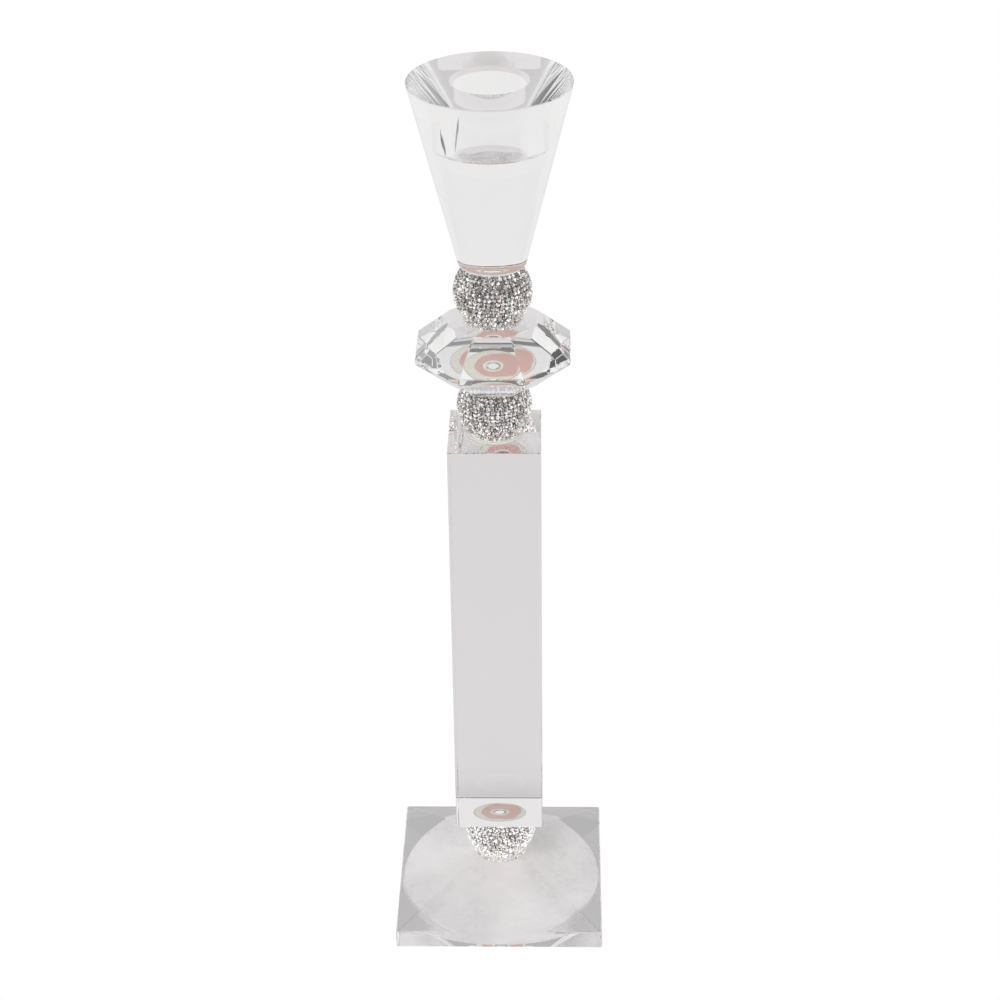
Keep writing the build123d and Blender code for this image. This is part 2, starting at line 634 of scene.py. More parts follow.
@dataclass(frozen=True)
class GroundCrystalFinish(Finish):
    """Crystal left ground at the bottom of the bore: frosted, grey and mottled."""

    light: Colour = (0.97, 0.96, 0.97)
    dark: Colour = (0.52, 0.50, 0.53)
    roughness: float = 0.16
    ior: float = 1.52

    def dress(self, board: NodeBoard, shader: Any) -> None:
        """Lays frosted glass with grinding marks."""
        vector = board.place()
        spots = self.group(board, SharedEffects.mottle(), {
            "Vector": vector, "Patches": 420.0, "Grain": 2600.0, "Sharpness": 0.6,
            "Light": (*self.light, 1.0), "Dark": (*self.dark, 1.0)})
        board.tree.links.new(spots.outputs["Color"], shader.inputs["Base Color"])
        rough = board.band(spots.outputs["Mask"], 0.0, 1.0, self.roughness * 0.6,
                           self.roughness)
        board.tree.links.new(rough, shader.inputs["Roughness"])
        shader.inputs["IOR"].default_value = self.ior
        shader.inputs["Transmission Weight"].default_value = 1.0
        self.bump(board, shader, spots.outputs["Height"], 0.0001, 0.8)


@dataclass(frozen=True)
class ResinFinish(Finish):
    """Cast resin: rose poured into cream along a wandering line, a thin dark line at the rim.

    It gives off a little light, in place of what clear crystal round it would gather.
    """

    rose: Colour = (0.76, 0.50, 0.48)
    brown: Colour = (0.68, 0.50, 0.41)
    cream: Colour = (0.87, 0.87, 0.80)
    shade: Colour = (0.78, 0.77, 0.69)
    line: Colour = (0.33, 0.31, 0.28)
    pour_radius: float = 7.2 * MM
    wander: float = 4.2 * MM
    pull: Triple = (0.13, 0.07, 0.0)
    line_radius: float = 9.17 * MM
    line_width: float = 0.14 * MM
    roughness: float = 0.45
    glow: float = 0.22

    def dress(self, board: NodeBoard, shader: Any) -> None:
        """Lays mottled resin in its two colours."""
        vector = board.place()
        inner = self.group(board, SharedEffects.mottle(), {
            "Vector": vector, "Patches": 150.0, "Grain": 3000.0, "Sharpness": 0.1,
            "Light": (*self.rose, 1.0), "Dark": (*self.brown, 1.0)})
        outer = self.group(board, SharedEffects.mottle(), {
            "Vector": vector, "Patches": 170.0, "Grain": 3000.0, "Sharpness": 0.1,
            "Light": (*self.cream, 1.0), "Dark": (*self.shade, 1.0)})
        radius = board.radius(vector)
        drift = board.band(board.noise(vector, 95.0, 1.5), 0.2, 0.8, -self.wander / 2,
                           self.wander / 2)
        pulled = board.add("VectorMath", {0: vector, 1: self.pull}, operation="DOT_PRODUCT")
        drift = board.math("ADD", drift, pulled.outputs["Value"])
        past = board.math("SUBTRACT", radius, board.math("ADD", drift, self.pour_radius))
        colour = board.mix(board.band(past, -0.25 * MM, 0.25 * MM), inner.outputs["Color"],
                           outer.outputs["Color"])
        off = board.math("ABSOLUTE", board.math("SUBTRACT", radius, self.line_radius))
        ring = board.band(off, self.line_width / 2, self.line_width / 2 - 0.04 * MM)
        colour = board.mix(ring, colour, self.line)
        board.tree.links.new(colour, shader.inputs["Base Color"])
        if self.glow:
            board.tree.links.new(colour, shader.inputs["Emission Color"])
            shader.inputs["Emission Strength"].default_value = self.glow
        rough = board.band(inner.outputs["Mask"], 0.0, 1.0, self.roughness * 1.3,
                           self.roughness * 0.8)
        board.tree.links.new(rough, shader.inputs["Roughness"])
        self.bump(board, shader, inner.outputs["Height"], 0.00008, 0.5)


@dataclass(frozen=True)
class MetalFinish(Finish):
    """Bright plated tube, drawn along its length, with dull spots."""

    light: Colour = (0.86, 0.86, 0.84)
    dark: Colour = (0.42, 0.41, 0.4)

    def dress(self, board: NodeBoard, shader: Any) -> None:
        """Lays plated metal."""
        vector = board.place((1.0, 1.0, 0.12))
        spots = self.group(board, SharedEffects.mottle(), {
            "Vector": vector, "Patches": 900.0, "Grain": 6000.0, "Sharpness": 0.7,
            "Light": (*self.light, 1.0), "Dark": (*self.dark, 1.0)})
        board.tree.links.new(spots.outputs["Color"], shader.inputs["Base Color"])
        rough = board.band(spots.outputs["Mask"], 0.0, 1.0, 0.4, 0.16)
        board.tree.links.new(rough, shader.inputs["Roughness"])
        shader.inputs["Metallic"].default_value = 1.0
        self.bump(board, shader, spots.outputs["Height"], 0.00003, 0.4)


@dataclass(frozen=True)
class StoneFinish(Finish):
    """Small foiled stones, painted: each facet is a painted glint, a grey-brown, or near-black
    painted shade.
    """

    coat_roughness: float = 0.04

    def dress(self, board: NodeBoard, shader: Any) -> None:
        """Lays painted facet light and shade, and a painted glow on the brightest facets, all read
        from the stones' own attributes.
        """
        tone = board.add("Attribute", attribute_name="facet_tone").outputs["Fac"]
        hue = board.add("Attribute", attribute_name="stone_hue").outputs["Fac"]
        vector = board.place()
        # A fine painted flicker of light and shade runs over each facet.
        flare = board.noise(vector, 1500.0, 2.0)
        painted_light_level = board.math("ADD", tone, board.band(flare, 0.3, 0.7, -0.09, 0.09), clamp=True)
        colour = board.ramp(painted_light_level, (
            (0.0, (0.10, 0.094, 0.092)), (0.2, (0.27, 0.25, 0.24)),
            (0.42, (0.62, 0.585, 0.565)), (0.78, (0.86, 0.83, 0.815)),
            (0.86, (0.95, 0.95, 0.96)), (1.0, (1.0, 1.0, 1.0))))
        tint = board.ramp(hue, (
            (0.0, (1.0, 0.93, 0.88)), (0.35, (1.0, 0.98, 0.97)), (0.65, (0.98, 0.99, 1.0)),
            (0.85, (0.9, 0.95, 1.0)), (1.0, (1.0, 0.9, 0.92))))
        tinted = board.add("Mix", {0: 1.0, 6: colour, 7: tint}, data_type="RGBA",
                           blend_type="MULTIPLY").outputs[2]
        board.tree.links.new(tinted, shader.inputs["Base Color"])
        board.tree.links.new(board.band(painted_light_level, 0.0, 1.0, 0.28, 0.08),
                             shader.inputs["Roughness"])
        shader.inputs["Metallic"].default_value = 0.75
        shader.inputs["Coat Weight"].default_value = 1.0
        shader.inputs["Coat Roughness"].default_value = self.coat_roughness
        # Painted glint: the brightest facets glow, though no lamp is there.
        painted_glint_glow = board.ramp(painted_light_level, ((0.0, (0.02, 0.018, 0.017)), (0.4, (0.10, 0.094, 0.09)),
                                   (0.84, (0.22, 0.21, 0.20)), (0.93, (0.9, 0.9, 0.9))))
        board.tree.links.new(painted_glint_glow, shader.inputs["Emission Color"])
        shader.inputs["Emission Strength"].default_value = 0.7


@dataclass(frozen=True)
class GrainFinish(Finish):
    """A dull material of two shades with a rough grain, such as paste, foam or tape.

    Under crystal it may glow a little, in place of the light that the crystal would gather.
    """

    light: Colour
    dark: Colour
    patches: float = 150.0
    grain: float = 2000.0
    sharpness: float = 0.3
    roughness: float = 0.8
    depth: float = 0.0002
    glow: float = 0.0

    def dress(self, board: NodeBoard, shader: Any) -> None:
        """Lays the two shades and the grain."""
        vector = board.place()
        spots = self.group(board, SharedEffects.mottle(), {
            "Vector": vector, "Patches": self.patches, "Grain": self.grain,
            "Sharpness": self.sharpness, "Light": (*self.light, 1.0),
            "Dark": (*self.dark, 1.0)})
        board.tree.links.new(spots.outputs["Color"], shader.inputs["Base Color"])
        if self.glow:
            board.tree.links.new(spots.outputs["Color"], shader.inputs["Emission Color"])
            shader.inputs["Emission Strength"].default_value = self.glow
        rough = board.band(spots.outputs["Mask"], 0.0, 1.0, self.roughness,
                           self.roughness * 0.8)
        board.tree.links.new(rough, shader.inputs["Roughness"])
        self.bump(board, shader, spots.outputs["Height"], self.depth, 0.7)


@dataclass(frozen=True)
class GlueFinish(Finish):
    """Clear glue squeezed out in a thin bead, slightly yellow, with tiny bubbles."""

    clear: Colour = (0.98, 0.97, 0.93)
    milky: Colour = (0.86, 0.84, 0.78)

    def dress(self, board: NodeBoard, shader: Any) -> None:
        """Lays glossy clear glue with milky spots."""
        vector = board.place()
        spots = board.noise(vector, 1600.0, 2.0)
        colour = board.mix(board.band(spots, 0.5, 0.6), self.clear, self.milky)
        board.tree.links.new(colour, shader.inputs["Base Color"])
        board.tree.links.new(board.band(spots, 0.5, 0.62, 0.05, 0.4),
                             shader.inputs["Roughness"])
        shader.inputs["IOR"].default_value = 1.48
        shader.inputs["Transmission Weight"].default_value = 0.9
        self.bump(board, shader, spots, 0.00005, 0.6)


CLEAR_CRYSTAL = CrystalFinish("clear_crystal", waviness=0.06, scratches=0.08, dust=0.12)
BAR_CRYSTAL = CrystalFinish("bar_crystal", tint=(0.968, 0.963, 0.965), cloud=(0.953, 0.949, 0.953),
                            waviness=0.12, scratches=0.12, dust=0.2)
CUP_CRYSTAL = CrystalFinish("cup_crystal", tint=(0.985, 0.985, 0.985), waviness=0.02,
                            scratches=0.03, dust=0.05, haze=0.02)
BORE_CRYSTAL = CrystalFinish("bore_crystal", waviness=1.6, stretch=(5.0, 5.0, 0.25),
                             scratches=0.3, dust=0.1)
GROUND_CRYSTAL = GroundCrystalFinish("ground_crystal")
CREAM_RESIN = ResinFinish("cream_resin")
ROSE_RESIN = ResinFinish("rose_resin")
BUSH_RESIN = ResinFinish("bush_resin", pour_radius=-5.0 * MM, line_radius=3.42 * MM,
                         line=(0.62, 0.42, 0.36))
PLATED_METAL = MetalFinish("plated_metal")
CUT_STONE = StoneFinish("cut_stone")
PASTE = GrainFinish("stone_paste", light=(0.26, 0.24, 0.225), dark=(0.12, 0.11, 0.105),
                    patches=500.0, roughness=0.7, depth=0.0004)
PAD_FOAM = GrainFinish("white_foam", light=(0.90, 0.89, 0.89), dark=(0.76, 0.75, 0.75),
                       patches=400.0, grain=1800.0, glow=0.13)
# The tape's broad light and dark patches are painted caustic light and shade from the glass foot
# above; its glow is painted light.
PAD_TAPE = GrainFinish("white_tape", light=(1.0, 0.985, 0.99), dark=(0.80, 0.785, 0.79),
                       patches=30.0, grain=500.0, sharpness=0.35, roughness=0.6, glow=0.19)
CLEAR_GLUE = GlueFinish("clear_glue_bead")


# How many facets, counted up from none, are painted bright as glints, middling, and painted dark as
# shade, and the tones of each.
PAINTED_FACET_SHARES = ((0.16, (0.86, 1.0)), (0.64, (0.38, 0.8)), (1.0, (0.0, 0.36)))


# ---- Sub-assemblies --------------------------------------------------------------------------


class SubAssembly:
    """What every group of pieces shares: handing a finished piece to the frame."""

    @staticmethod
    def hand_over(piece: Piece, finishes: Sequence[Finish], slot: str,
                  nodes: Sequence[str]) -> Piece:
        """Gives a piece its finishes and ties it to the frame.

        Args:
            piece: The finished piece.
            finishes: Its materials, in the order of its material slots.
            slot: The record's material slot; not used.
            nodes: The CAD nodes that it stands for.

        Returns:
            The same piece.
        """
        piece.data.materials.clear()
        for finish in finishes:
            piece.data.materials.append(finish.material())
        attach(piece, BODY)
        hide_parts(*nodes)
        LOG.info("%s: %d faces for %s", piece.name, len(piece.data.polygons), ", ".join(nodes))
        return piece

    @staticmethod
    def paint(piece: Piece, index: int, test: Test) -> None:
        """Gives the faces that pass a test another of the piece's material slots."""
        for face in piece.data.polygons:
            if test(face):
                face.material_index = index


@dataclass
class CandleCup(SubAssembly):
    """The solid cone at the top with its blind bore for a dinner candle."""

    bore_radius: float = 11.0 * MM
    bore_depth: float = 20.5 * MM
    mouth_bevel: float = 1.2 * MM
    low_radius: float = 10.7 * MM
    rim_radius: float = 25.5 * MM
    arris: float = 0.4 * MM
    mouth_arris: float = 0.12 * MM
    floor_fillet: float = 1.4 * MM
    fillet_steps: int = 5
    ground_share: float = 0.52  # of the bore's radius, left ground
    sides: int = 720

    def build(self) -> None:
        """Turns the cone, bores it, and polishes all but the bore's floor."""
        low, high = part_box("candle_cup")
        top = high.z
        floor = top - self.bore_depth
        cup = Bench.cone("cup_crystal", self.low_radius, self.rim_radius, low.z, top, self.sides)
        with Bench.shaping(cup):
            Bench.caps(cup, 1)
            Bench.inset(self.rim_radius - self.bore_radius - self.mouth_bevel)
            Bench.extrude(-self.mouth_bevel)
            Bench.widen(self.bore_radius / (self.bore_radius + self.mouth_bevel))
            Bench.extrude(floor + self.floor_fillet - top + self.mouth_bevel)
            self.round_floor()
            mouth = self.bore_radius + self.mouth_bevel
            Bench.bevel_rims(cup, self.arris, 2, top, self.rim_radius)
            Bench.bevel_rims(cup, self.arris, 2, low.z, self.low_radius)
            Bench.bevel_rims(cup, self.mouth_arris, 1, top, mouth)
        Bench.smooth(cup, 15.0)
        ground = self.bore_radius * self.ground_share
        self.hand_over(cup, (CUP_CRYSTAL, BORE_CRYSTAL, GROUND_CRYSTAL), "crystal_glass",
                       ["candle_cup"])
        self.paint(cup, 1, lambda face: (
            face.center.xy.length < self.bore_radius
            and floor < face.center.z < top - self.mouth_bevel))
        self.paint(cup, 2, lambda face: (
            face.center.xy.length < ground and abs(face.center.z - floor) < SAME_HEIGHT))

    def round_floor(self) -> None:
        """Extrudes the bore's rounded bottom edge from the selected floor."""
        radius = self.bore_radius
        for step in range(1, self.fillet_steps + 1):
            angle = math.pi / 2 * step / self.fillet_steps
            before = math.pi / 2 * (step - 1) / self.fillet_steps
            drop = self.floor_fillet * (math.sin(angle) - math.sin(before))
            wanted = self.bore_radius - self.floor_fillet * (1 - math.cos(angle))
            Bench.extrude(-drop)
            Bench.widen(wanted / radius)
            radius = wanted
        rings = 2
        for _ in range(rings):
            Bench.inset(radius * 0.35)


@dataclass
class FacetedDisc(SubAssembly):
    """The octagonal disc, cut back in facets above and below its girdle."""

    table_width: float = 28.0 * MM
    girdle_height: float = 2.0 * MM
    arris: float = 0.22 * MM
    sides: int = 8

    def build(self) -> None:
        """Cuts the disc from its girdle outwards, up and down."""
        low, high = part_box("faceted_disc")
        corner = (high.x - low.x) / 2 / math.cos(math.pi / self.sides)
        middle = (low.z + high.z) / 2
        girdle = self.girdle_height / 2
        disc = Bench.cone("disc_crystal", corner, corner, middle - girdle, middle + girdle,
                          self.sides, math.pi / self.sides)
        share = self.table_width / (high.x - low.x)
        with Bench.shaping(disc):
            for direction in (1, -1):
                Bench.caps(disc, direction)
                Bench.extrude(direction * ((high.z - low.z) / 2 - girdle))
                Bench.widen(share)
        Bench.bevel_corners(disc, self.arris)
        self.hand_over(disc, (CLEAR_CRYSTAL,), "crystal_glass", ["faceted_disc"])


@dataclass
class Bar(SubAssembly):
    """The square crystal bar between the lower and the middle ball."""

    arris: float = 0.35 * MM

    def build(self) -> None:
        """Cuts the bar and takes off its sharp edges."""
        bar = Bench.box("bar_crystal_block", *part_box("column"))
        Bench.bevel_corners(bar, self.arris, 2)
        self.hand_over(bar, (BAR_CRYSTAL,), "crystal_glass", ["column"])


@dataclass
class Foot(SubAssembly):
    """The square foot, whose top rises as a low cut-off pyramid."""

    edge_height: float = 6.7 * MM
    top_width: float = 24.0 * MM
    arris: float = 0.35 * MM

    def build(self) -> None:
        """Cuts the slab and raises its top."""
        low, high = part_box("base_block")
        shoulder = low.z + self.edge_height
        foot = Bench.box("foot_crystal", low, Vector((high.x, high.y, shoulder)))
        with Bench.shaping(foot):
            Bench.caps(foot, 1)
            Bench.extrude(high.z - shoulder)
            Bench.widen(self.top_width / (high.x - low.x))
        Bench.bevel_corners(foot, self.arris)
        self.hand_over(foot, (CLEAR_CRYSTAL,), "crystal_glass", ["base_block"])


@dataclass
class FootPad(SubAssembly):
    """The round foam pad under the foot and the double-sided tape that holds it."""

    bite: float = 0.05 * MM
    rounding: float = 0.25 * MM
    tape_shrink: float = 0.3 * MM
    ripple: float = 0.22 * MM
    most_ripple: float = 0.25 * MM
    ripple_counts: tuple[int, ...] = (3, 5, 8, 13, 21)
    seed: int = 71
    sides: int = 144

    def build(self) -> None:
        """Makes the pad with a rounded edge, and the tape with a ragged one."""
        low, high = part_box("base_pad")
        radius = (high.x - low.x) / 2
        pad = Bench.cone("foot_pad", radius, radius, low.z, high.z, self.sides)
        with Bench.shaping(pad):
            for height in (low.z, high.z):
                Bench.bevel_rims(pad, self.rounding, 3, height, radius)
        Bench.smooth(pad, 35.0)
        self.hand_over(pad, (PAD_FOAM,), "pad_foam", ["base_pad"])
        tape_low, tape_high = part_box("pad_adhesive")
        edge = radius - self.tape_shrink
        tape = Bench.cone("foot_pad_tape", edge, edge, tape_low.z, tape_high.z + self.bite,
                          self.sides)
        with Bench.shaping(tape):
            self.ripple_edge(tape, edge)
        Bench.smooth(tape, 35.0)
        self.hand_over(tape, (PAD_TAPE,), "pad_tape", ["pad_adhesive"])

    def ripple_edge(self, tape: Piece, edge: float) -> None:
        """Pulls the tape's edge in and out a little, as hand-laid tape has it.

        Args:
            tape: The tape, in edit mode.
            edge: Its radius before.
        """
        draw = random.Random(self.seed)
        waves = [(count, draw.uniform(0, math.tau), draw.uniform(0.3, 1.0))
                 for count in self.ripple_counts]
        shape = bmesh.from_edit_mesh(tape.data)
        for vertex in shape.verts:
            angle = math.atan2(vertex.co.y, vertex.co.x)
            shift = sum(size * math.sin(count * angle + phase)
                        for count, phase, size in waves) * self.ripple / 2
            vertex.co.xy *= (edge + min(shift, self.most_ripple)) / edge
        bmesh.update_edit_mesh(tape.data)


@dataclass
class PavedBall(SubAssembly):
    """A hand-paved ball: resin inside, stones set in paste outside, a ring at each end."""

    name: str
    shoulder_radius: float
    seed: int
    # Painted light lifted onto this ball's stone facets.
    shine: float = 0.0
    covers_rings: bool = True
    bite: float = 0.035 * MM
    neck_radius: float = 6.5 * MM
    eyelet_bore: float = 1.5 * MM
    eyelet_lip: float = 0.02 * MM
    eyelet_rounding: float = 0.42 * MM
    flare: float = 0.12 * MM
    flare_length: float = 0.2 * MM
    ring_rounding: float = 0.2 * MM
    bead_width: float = 0.22 * MM
    bead_overlap: float = 0.02 * MM
    bead_gap: float = 0.005 * MM
    stone_pitch: float = 1.56 * MM
    row_share: float = 0.9
    row_margin: float = 0.45 * MM
    ring_row: tuple[float, float] = (0.40 * MM, 0.30 * MM)
    small: float = 0.64
    jitter: float = 0.09
    lean: float = 0.10
    sinks: tuple[float, float] = (0.62 * MM, 0.78 * MM)
    sizes: tuple[float, float] = (0.92, 1.04)
    paste_depth: float = 0.70 * MM
    bands: int = 15
    sides: int = 96
    sleeve_sides: int = 48
    stones_seen: int = field(default=0, init=False)

    def __post_init__(self) -> None:
        """Reads the ball's heights and widths from its CAD nodes."""
        self.low, self.high = (corner.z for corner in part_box(f"{self.name}_core"))
        paving_low, paving_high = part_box(f"{self.name}_paving")
        self.paving = (paving_low.z, paving_high.z)
        self.middle = (paving_low.z + paving_high.z) / 2
        self.waist = (paving_high.x - paving_low.x) / 2
        self.core_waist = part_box(f"{self.name}_core")[1].x
        self.ring_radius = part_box(f"{self.name}_top_ring")[1].x
        self.bush_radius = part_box(f"{self.name}_bush")[1].x
        self.tube_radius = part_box(f"{self.name}_tube")[1].x
        glue_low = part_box(f"{self.name}_bottom_glue")[0].z
        self.film = self.low - glue_low
        reach = self.film + self.bite
        self.ends = (self.low - reach, self.high + reach)

    def outside(self, height: float) -> float:
        """Radius of the paved surface at a height."""
        half = self.paving[1] - self.middle
        share = min(1.0, abs(height - self.middle) / half)
        return self.waist - (self.waist - self.shoulder_radius) * share ** 2

    def inside(self, height: float) -> float:
        """Radius of the core at a height."""
        half = self.paving[1] - self.middle
        share = min(1.0, abs(height - self.middle) / half)
        return self.core_waist - (self.core_waist - self.neck_radius) * share ** 2

    def build(self, stone: Piece) -> None:
        """Builds the ball from the inside out.

        Args:
            stone: The cut stone that every stone is a copy of.
        """
        self.build_core()
        self.build_sleeves()
        for end in End:
            self.build_ring(end)
            self.build_glue(end)
        self.build_paste()
        self.build_stones(stone)

    def build_core(self) -> None:
        """The rose resin core, its necks reaching into the glass at both ends."""
        core = Bench.washer(f"{self.name}_rose_core", self.neck_radius, self.bush_radius,
                            *self.ends, sides=self.sides)
        low, high = self.paving
        Bench.contour(core, *self.ends, self.bands, self.neck_radius,
                      lambda z: self.inside(z) if low < z < high else self.neck_radius)
        Bench.smooth(core, 40.0)
        self.hand_over(core, (ROSE_RESIN,), "core_resin", [f"{self.name}_core"])

    def build_sleeves(self) -> None:
        """The resin bush and the plated tube, whose ends are flared like an eyelet."""
        bush = Bench.washer(f"{self.name}_sleeve", self.bush_radius, self.tube_radius,
                            *self.ends, sides=self.sleeve_sides)
        Bench.smooth(bush, 40.0)
        self.hand_over(bush, (BUSH_RESIN,), "ring_resin", [f"{self.name}_bush"])
        low, high = self.ends[0] - self.eyelet_lip, self.ends[1] + self.eyelet_lip
        tube = Bench.washer(f"{self.name}_eyelet", self.tube_radius, self.eyelet_bore, low,
                            high, sides=self.sleeve_sides)
        Bench.contour(tube, low, high, 23, self.tube_radius, lambda z: (
            self.tube_radius + self.flare * (min(z - low, high - z) < self.flare_length)))
        with Bench.shaping(tube):
            for height in (low, high):
                Bench.bevel_rims(tube, self.eyelet_rounding, 5, height, self.eyelet_bore)
        Bench.smooth(tube, 50.0)
        self.hand_over(tube, (PLATED_METAL,), "tube_metal", [f"{self.name}_tube"])

    def build_ring(self, end: End) -> None:
        """The cream ring at one end.

        Args:
            end: Which end of the ball.
        """
        title = end.name.lower()
        seat = self.paving[0] if end is End.BOTTOM else self.paving[1]
        face = self.ends[0] if end is End.BOTTOM else self.ends[1]
        ring = Bench.washer(f"{self.name}_{title}_cream_ring", self.ring_radius,
                            self.neck_radius, min(seat, face), max(seat, face),
                            sides=self.sides)
        with Bench.shaping(ring):
            Bench.bevel_rims(ring, self.ring_rounding, 2, seat, self.ring_radius)
        Bench.smooth(ring, 30.0)
        self.hand_over(ring, (CREAM_RESIN,), "ring_resin", [f"{self.name}_{title}_ring"])

    def build_glue(self, end: End) -> None:
        """The bead of clear glue squeezed out round one end.

        Args:
            end: Which end of the ball.
        """
        title = end.name.lower()
        low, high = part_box(f"{self.name}_{title}_glue")
        outer = self.ring_radius + self.bead_width
        bead = Bench.washer(f"{self.name}_{title}_glue_bead", outer,
                            self.ring_radius - self.bead_overlap, low.z + self.bead_gap,
                            high.z - self.bead_gap, sides=self.sides)
        draw = random.Random(self.seed * 10 + end.value)
        with Bench.shaping(bead):
            shape = bmesh.from_edit_mesh(bead.data)
            phase, second = draw.uniform(0, math.tau), draw.uniform(0, math.tau)
            for vertex in shape.verts:
                if abs(vertex.co.xy.length - outer) < SAME_RADIUS:
                    angle = math.atan2(vertex.co.y, vertex.co.x)
                    bulge = 0.5 + 0.3 * math.sin(3 * angle + phase)
                    bulge += 0.25 * math.sin(7 * angle + second)
                    wanted = self.ring_radius + self.bead_width * max(0.15, bulge)
                    vertex.co.xy *= wanted / vertex.co.xy.length
            bmesh.update_edit_mesh(bead.data)
        Bench.smooth(bead, 60.0)
        self.hand_over(bead, (CLEAR_GLUE,), "clear_glue", [f"{self.name}_{title}_glue"])

    def build_paste(self) -> None:
        """The dark paste that the stones sit in."""
        low, high = self.paving
        paste = Bench.washer(f"{self.name}_paste", self.shoulder_radius, self.neck_radius,
                             low, high, sides=self.sides)
        Bench.contour(paste, low, high, self.bands, self.shoulder_radius,
                      lambda z: self.outside(z) - self.paste_depth)
        Bench.contour(paste, low, high, self.bands, self.neck_radius, self.inside)
        Bench.smooth(paste, 60.0)
        self.hand_over(paste, (PASTE,), "cut_stones", [])

    def rows(self) -> list[tuple[float, float, Vector, float]]:
        """Height, radius, outward slope and stone size of each row of stones.

        Returns:
            One entry a row, from the bottom up.
        """
        parts = 400
        low, high = self.paving[0] + self.row_margin, self.paving[1] - self.row_margin
        samples = [low + (high - low) * step / parts for step in range(parts + 1)]
        lengths = [0.0]
        for a, b in zip(samples, samples[1:]):
            lengths.append(lengths[-1] + math.hypot(b - a, self.outside(b) - self.outside(a)))
        count = round(lengths[-1] / (self.stone_pitch * self.row_share)) + 1
        found = []
        for row in range(count):
            wanted = lengths[-1] * row / (count - 1)
            nearest = min(range(parts + 1), key=lambda i: abs(lengths[i] - wanted))
            height = samples[nearest]
            step = 0.05 * MM
            slope = (self.outside(height + step) - self.outside(height - step)) / (2 * step)
            found.append((height, self.outside(height), Vector((1, 0, -slope)).normalized(),
                          1.0))
        if self.covers_rings:
            step, out = self.ring_row
            for height in (self.low + step, self.high - step):
                found.append((height, self.ring_radius + out, Vector((1, 0, 0)), self.small))
        return found

    def build_stones(self, stone: Piece) -> None:
        """Sets the stones row by row, each turned, tilted and given its painted facet light a little
        its own way.

        Args:
            stone: The cut stone to copy.
        """
        draw = random.Random(self.seed)
        Bench.clear()
        copies = []
        for height, radius, slope, scale in self.rows():
            count = round(math.tau * radius / (self.stone_pitch * scale))
            start = draw.uniform(0, math.tau)
            for place in range(count):
                angle = start + math.tau * (place + draw.uniform(-self.jitter, self.jitter)) / count
                outward = Matrix.Rotation(angle, 4, "Z")
                sink = draw.uniform(*self.sinks) * scale
                shift = draw.uniform(-self.jitter, self.jitter) * MM * scale
                spot = Matrix.Translation(Vector((radius, 0, height + shift)) - slope * sink)
                lean = slope.to_track_quat("Z", "Y").to_matrix().to_4x4()
                tilt = (Matrix.Rotation(draw.gauss(0, self.lean), 4, "X")
                        @ Matrix.Rotation(draw.gauss(0, self.lean), 4, "Y")
                        @ Matrix.Rotation(draw.uniform(0, math.tau), 4, "Z"))
                size = Matrix.Scale(draw.uniform(*self.sizes) * scale, 4)
                copies.append(self.set_stone(stone, outward @ spot @ lean @ tilt @ size, draw,
                                             self.shine))
        for copy in copies:
            copy.select_set(True)
        bpy.context.view_layer.objects.active = copies[0]
        bpy.ops.object.join()
        stones = bpy.context.active_object
        stones.name = stones.data.name = f"{self.name}_stones"
        self.stones_seen = len(copies)
        self.hand_over(stones, (CUT_STONE,), "cut_stones", [f"{self.name}_paving"])

    @staticmethod
    def set_stone(stone: Piece, placing: Matrix, draw: random.Random, shine: float) -> Piece:
        """Copies the stone to its place and paints light and shade on its facets.

        Args:
            stone: The cut stone.
            placing: Where the copy goes.
            draw: The ball's own run of random numbers.
            shine: How much more painted light this ball's facets get than the others'.

        Returns:
            The copy, with its place in its own mesh.
        """
        mesh = stone.data.copy()
        mesh.transform(placing)
        # Painted light: each stone gets a random lift and each facet a bright, middling or dark
        # painted level.
        painted_lift = draw.gauss(shine, 0.10)
        facet_painted_levels = []
        for _ in mesh.polygons:
            pick = draw.random()
            lowest, highest = next(tone for share, tone in PAINTED_FACET_SHARES if pick < share)
            facet_painted_levels.append(min(1.0, max(0.0, draw.uniform(lowest, highest) + painted_lift)))
        hue = draw.random()
        mesh.attributes["facet_tone"].data.foreach_set("value", facet_painted_levels)
        mesh.attributes["stone_hue"].data.foreach_set("value", [hue] * len(facet_painted_levels))
        copy = bpy.data.objects.new("stone", mesh)
        bpy.context.scene.collection.objects.link(copy)
        return copy


@dataclass
class CutStone:
    """The one small stone that all the paving is copied from."""

    girdle_radius: float = 0.76 * MM
    table_radius: float = 0.40 * MM
    crown_height: float = 0.36 * MM
    girdle_height: float = 0.10 * MM
    foot_height: float = 0.25 * MM
    foot_share: float = 0.6
    corner_facet: float = 0.11 * MM
    sides: int = 8

    def build(self) -> Piece:
        """Cuts the stone: a table, main facets with narrower ones between, and a girdle.

        Returns:
            The stone at the frame's origin, its table up.
        """
        low = self.foot_height
        stone = Bench.cone("cut_stone_master", self.girdle_radius, self.table_radius,
                           low + self.girdle_height,
                           low + self.girdle_height + self.crown_height, self.sides)
        with Bench.shaping(stone):
            Bench.pick(stone, Pick.EDGES, lambda edge: (
                abs(edge.verts[0].co.z - edge.verts[1].co.z) > 0.5 * self.crown_height))
            Bench.bevel(self.corner_facet)
            Bench.caps(stone, -1)
            Bench.extrude(-self.girdle_height)
            Bench.extrude(-self.foot_height)
            Bench.widen(self.foot_share)
        # Face attributes for the painted facet light and each stone's own tint.
        for name in ("facet_tone", "stone_hue"):
            stone.data.attributes.new(name, "FLOAT", "FACE")
        return stone


# ---- Studio ----------------------------------------------------------------------------------


